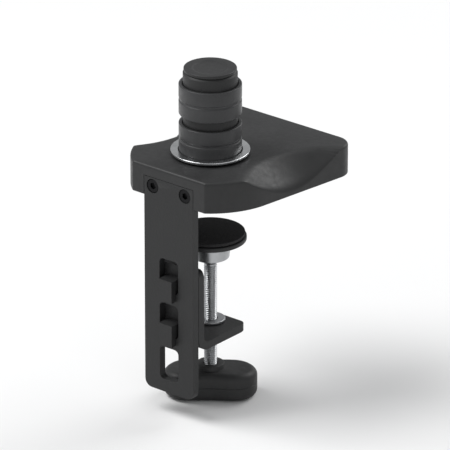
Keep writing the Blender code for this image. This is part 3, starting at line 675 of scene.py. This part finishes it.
class CLAMP_OT_foot(bpy.types.Operator):
    """Build the swivel foot and the threaded bush"""

    bl_idname = "clamp.foot"
    bl_label = "Foot and bush"

    def execute(self, context):
        radius, low, high = node_sizes("foot_pad")
        mesh = revolved("foot_pad_surface", disc_profile(radius, low, high, 0.0004), False)
        new_piece("foot_pad_surface", smooth(mesh), "foot_pad", FINISHES["foam_pad"])
        radius, low, high = node_sizes("foot_plate")
        near = radius * AXIS_SHARE
        profile = [(near, high), (radius, high), (radius, low), (radius * 0.80, low), (near, low)]
        mesh = revolved("foot_plate_surface", filleted(profile, 0.0009, 6, closed=False), False)
        new_piece("foot_plate_surface", smooth(mesh), "foot_plate", FINISHES["black_steel"])
        flange, low, high = node_sizes("foot_socket")
        body = flange - 0.0035
        seat = 0.0090
        centre = low + 0.005
        arc = np.linspace(-math.asin(0.005 / seat), math.asin((high - centre) / seat), 16)
        inner = [(seat * math.cos(a), centre + seat * math.sin(a)) for a in arc]
        under = high - 0.002
        sides = [inner[-1], (flange, high), (flange, under), (body, under), (body - 0.001, low), inner[0]]
        outer = filleted(sides, 0.0006, closed=False)
        mesh = revolved("foot_socket_surface", np.vstack([outer, inner[1:-1]]), True)
        new_piece("foot_socket_surface", smooth(mesh), "foot_socket", FINISHES["zinc_steel"])
        flange, low, high = node_sizes("clamp_bush")
        bore = CLAMP_BORE
        under = high - 0.0015
        body = 0.006
        profile = [(flange, high), (flange, under), (body, under), (body, low), (bore, low), (bore, high)]
        mesh = revolved("clamp_bush_surface", filleted(profile, 0.0004), True)
        new_piece("clamp_bush_surface", smooth(mesh), "clamp_bush", FINISHES["zinc_steel"])
        return {"FINISHED"}


# ---- handle -----------------------------------------------------------------------------------------

HANDLE_ANGLE = math.radians(38)
HANDLE_LENGTH = 0.057
HANDLE_DEPTH = 0.028
HUB_RADIUS = 0.0085


def stadium_reach(angle, length, depth):
    """Distance from a bar's centre to its outline: the flat side at half depth, or the root of the
    ray and the round end's circle."""
    radius = depth / 2
    reach = length / 2 - radius
    dx, dy = np.abs(np.cos(angle)), np.abs(np.sin(angle))
    side = radius / np.maximum(dy, 1e-6)
    around = reach * dx + np.sqrt(np.maximum(radius ** 2 - (reach * dy) ** 2, 0.0))
    return np.where(side * dx < reach, side, around)


def make_handle_mesh():
    """Closed surface of the handle: from the hub's bore over the hub, the crowned top, the rounded
    rim, the sides with thumb flutes, and under to the cap's recess and back up the bore."""
    low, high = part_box("clamp_handle")
    columns = 288
    angle = np.arange(columns) * TAU / columns
    top = high.z - 0.003
    middle = (low.z + top) / 2
    bore = CLAMP_BORE
    cap_room = node_sizes("handle_cap")[0] + GAP
    cap_top = node_sizes("handle_cap")[2] + GAP
    rings = []

    def circle(radius, height):
        rings.append((np.full(columns, radius), np.full(columns, height)))

    def bar(inset, height, flute=0.0):
        reach = stadium_reach(angle, HANDLE_LENGTH - 2 * inset, HANDLE_DEPTH - 2 * inset)
        across = np.cos(angle) * reach
        side = np.clip(1 - (np.abs(np.cos(angle)) * reach / 0.011) ** 2, 0.0, 1.0)
        near_end = np.clip(np.abs(across) / (HANDLE_LENGTH / 2), 0.0, 1.0)
        drop = 0.0012 * near_end ** 2 * max(0.0, (height - middle) / (top - middle))
        rings.append((reach - flute * side, np.full(columns, height) - drop))

    circle(bore, high.z - 0.0003)
    circle(bore + 0.0004, high.z)
    circle(HUB_RADIUS - 0.0006, high.z)
    circle(HUB_RADIUS - 0.0002, high.z - 0.0002)
    circle(HUB_RADIUS, high.z - 0.0006)
    circle(HUB_RADIUS, top + 0.0008)
    circle(HUB_RADIUS + 0.0003, top + 0.0002)
    circle(HUB_RADIUS + 0.0010, top)
    edge = 0.0042
    bar(edge + 0.0004, top)
    for turn in np.linspace(0.0, math.pi / 2, 7):
        bar(edge * (1 - math.sin(turn)), top - edge * (1 - math.cos(turn)), 0.0011 * math.sin(turn))
    seam = 0.0003
    bar(0.0, middle + 1.5 * seam, 0.0011)
    bar(seam, middle + 0.5 * seam, 0.0011)
    bar(seam, middle - 0.5 * seam, 0.0011)
    bar(0.0, middle - 1.5 * seam, 0.0011)
    for turn in np.linspace(math.pi / 2, 0.0, 7):
        bar(edge * (1 - math.sin(turn)), low.z + edge * (1 - math.cos(turn)), 0.0011 * math.sin(turn))
    circle(cap_room + 0.0008, low.z)
    circle(cap_room, low.z + 0.0004)
    circle(cap_room, cap_top)
    circle(bore, cap_top)
    points = np.array([
        np.stack([reach * np.cos(angle + HANDLE_ANGLE), reach * np.sin(angle + HANDLE_ANGLE), height], -1)
        for reach, height in rings
    ])
    return grid_mesh("clamp_handle_surface", points, wrap_rows=True)


class CLAMP_OT_handle(bpy.types.Operator):
    """Build the bar handle and its cap"""

    bl_idname = "clamp.handle"
    bl_label = "Handle"

    def execute(self, context):
        mesh = make_handle_mesh()
        new_piece("clamp_handle_surface", smooth(mesh), "clamp_handle", FINISHES["handle_plastic"])
        radius, low, high = node_sizes("handle_cap")
        near = radius * AXIS_SHARE
        profile = [(near, high), (radius, high), (radius, low), (radius * 0.7, low),
                   (radius * 0.62, low + 0.0005), (near, low + 0.0005)]
        mesh = revolved("handle_cap_surface", filleted(profile, 0.0004, closed=False), False)
        new_piece("handle_cap_surface", smooth(mesh), "handle_cap", FINISHES["handle_plastic"])
        return {"FINISHED"}


# ---- sheet metal and screws ------------------------------------------------------------------------------

class CLAMP_OT_steel(bpy.types.Operator):
    """Build the coated steel pieces with rounded sheared edges"""

    bl_idname = "clamp.steel"
    bl_label = "Post, hanger plate and jaw"

    def execute(self, context):
        edge = context.scene.clamp_sizes.plate_edge
        for node in ("hanger_plate", "jaw_bracket"):
            refined(node, node + "_surface", edge, FINISHES["black_steel"])
        refined("post", "post_surface", 0.0005, FINISHES["black_steel"])
        refined("base_pad", "base_pad_surface", 0.0004, FINISHES["foam_pad"], 2)
        for node in ("hanger_screw_left", "hanger_screw_right"):
            refined(node, node + "_surface", 0.0003, FINISHES["dark_screw"], 2)
        return {"FINISHED"}


class CLAMP_OT_carried(bpy.types.Operator):
    """Give the nodes that stay as they are their materials"""

    bl_idname = "clamp.carried"
    bl_label = "Carried nodes"

    def execute(self, context):
        for node, item in NODES.items():
            if item.hide_render:
                continue
            item.data.materials.clear()
            item.data.materials.append(FINISHES[SLOT_OF[node]])
            smooth(item.data)
        return {"FINISHED"}


# ---- stage ---------------------------------------------------------------------------------------------

VIEW_AZIMUTH = math.radians(39.7)
VIEW_ELEVATION = math.radians(23.4)
VIEW_DISTANCE = 3.5


def flat_material(name, colour):
    """Plain matt material for the studio floor."""
    finish = bpy.data.materials.new(name)
    finish.use_nodes = True
    shader = finish.node_tree.nodes["Principled BSDF"]
    shader.inputs["Base Color"].default_value = (*colour, 1.0)
    shader.inputs["Roughness"].default_value = 0.9
    shader.inputs["Specular IOR Level"].default_value = 0.1
    return finish


def add_lamp(name, place, target, size, power):
    """Soft square lamp that faces a point."""
    light = bpy.data.lights.new(name, "AREA")
    light.size = size
    light.energy = power
    lamp = bpy.data.objects.new(name, light)
    bpy.context.scene.collection.objects.link(lamp)
    lamp.location = place
    lamp.rotation_mode = "QUATERNION"
    lamp.rotation_quaternion = (Vector(target) - Vector(place)).to_track_quat("-Z", "Y")
    return lamp


class CLAMP_OT_stage(bpy.types.Operator):
    """Build the floor, lamps, world and camera"""

    bl_idname = "clamp.stage"
    bl_label = "Studio"

    def execute(self, context):
        scene = context.scene
        low, high = CAD_BOX
        centre = (low + high) / 2
        bpy.ops.mesh.primitive_plane_add(size=14.0, location=(0.0, 0.0, low.z - 0.0005))
        floor = context.object
        floor.name = "studio_floor"
        floor.data.materials.append(flat_material("pale_floor", (0.86, 0.86, 0.86)))
        world = bpy.data.worlds.new("studio")
        world.use_nodes = True
        tree = world.node_tree
        background = tree.nodes["Background"]
        background.inputs["Color"].default_value = (0.94, 0.95, 0.96, 1.0)
        background.inputs["Strength"].default_value = 0.40
        white = tree.nodes.new("ShaderNodeBackground")
        white.inputs["Color"].default_value = (1.0, 1.0, 1.0, 1.0)
        white.inputs["Strength"].default_value = 1.0
        path = tree.nodes.new("ShaderNodeLightPath")
        mix = tree.nodes.new("ShaderNodeMixShader")
        tree.links.new(path.outputs["Is Camera Ray"], mix.inputs["Fac"])
        tree.links.new(background.outputs["Background"], mix.inputs[1])
        tree.links.new(white.outputs["Background"], mix.inputs[2])
        tree.links.new(mix.outputs["Shader"], tree.nodes["World Output"].inputs["Surface"])
        scene.world = world
        add_lamp("key", (-0.9, -0.7, 1.7), centre, 1.2, 34.0)
        add_lamp("fill", (1.6, -0.6, 0.7), centre, 1.4, 2.5)
        add_lamp("back", (0.3, 1.6, 1.2), centre, 1.2, 16.0)
        scene.view_settings.view_transform = "Standard"
        camera_data = bpy.data.cameras.new("view")
        camera = bpy.data.objects.new("view", camera_data)
        scene.collection.objects.link(camera)
        back = Vector((
            math.sin(VIEW_AZIMUTH) * math.cos(VIEW_ELEVATION),
            -math.cos(VIEW_AZIMUTH) * math.cos(VIEW_ELEVATION),
            math.sin(VIEW_ELEVATION),
        ))
        reach = (high - low).length / 2
        camera_data.lens = camera_data.sensor_width / 2 / (reach / VIEW_DISTANCE * 1.02)
        camera_data.clip_start = 0.05
        camera_data.clip_end = 100.0
        camera.location = centre + back * VIEW_DISTANCE
        camera.rotation_mode = "QUATERNION"
        camera.rotation_quaternion = (-back).to_track_quat("-Z", "Y")
        scene.camera = camera
        return {"FINISHED"}


# ---- panel and registration --------------------------------------------------------------------------

OPERATORS = (
    CLAMP_OT_cover, CLAMP_OT_post, CLAMP_OT_screw, CLAMP_OT_foot, CLAMP_OT_handle, CLAMP_OT_steel,
    CLAMP_OT_carried, CLAMP_OT_stage,
)


class CLAMP_PT_sidebar(bpy.types.Panel):
    """Lists the clamp's pieces and settings"""

    bl_label = "Desk clamp"
    bl_idname = "CLAMP_PT_sidebar"
    bl_space_type = "VIEW_3D"
    bl_region_type = "UI"
    bl_category = "Desk clamp"

    def draw(self, context):
        column = self.layout.column()
        for group in (context.scene.clamp_looks, context.scene.clamp_sizes):
            for name in group.bl_rna.properties.keys():
                if name not in ("rna_type", "name"):
                    column.prop(group, name)
        for operator in OPERATORS:
            column.operator(operator.bl_idname)


CLASSES = (ClampLooks, ClampSizes, *OPERATORS, CLAMP_PT_sidebar)


def register():
    """Add the classes and the scene's properties."""
    for item in CLASSES:
        bpy.utils.register_class(item)
    bpy.types.Scene.clamp_looks = PointerProperty(type=ClampLooks)
    bpy.types.Scene.clamp_sizes = PointerProperty(type=ClampSizes)


def unregister():
    """Remove the scene's properties and the classes."""
    del bpy.types.Scene.clamp_sizes
    del bpy.types.Scene.clamp_looks
    for item in reversed(CLASSES):
        bpy.utils.unregister_class(item)


def main():
    """Build every piece."""
    register()
    make_finishes()
    bpy.ops.clamp.cover()
    bpy.ops.clamp.post()
    bpy.ops.clamp.screw()
    bpy.ops.clamp.foot()
    bpy.ops.clamp.handle()
    bpy.ops.clamp.steel()
    bpy.ops.clamp.carried()
    bpy.ops.clamp.stage()


if __name__ == "__main__":
    main()
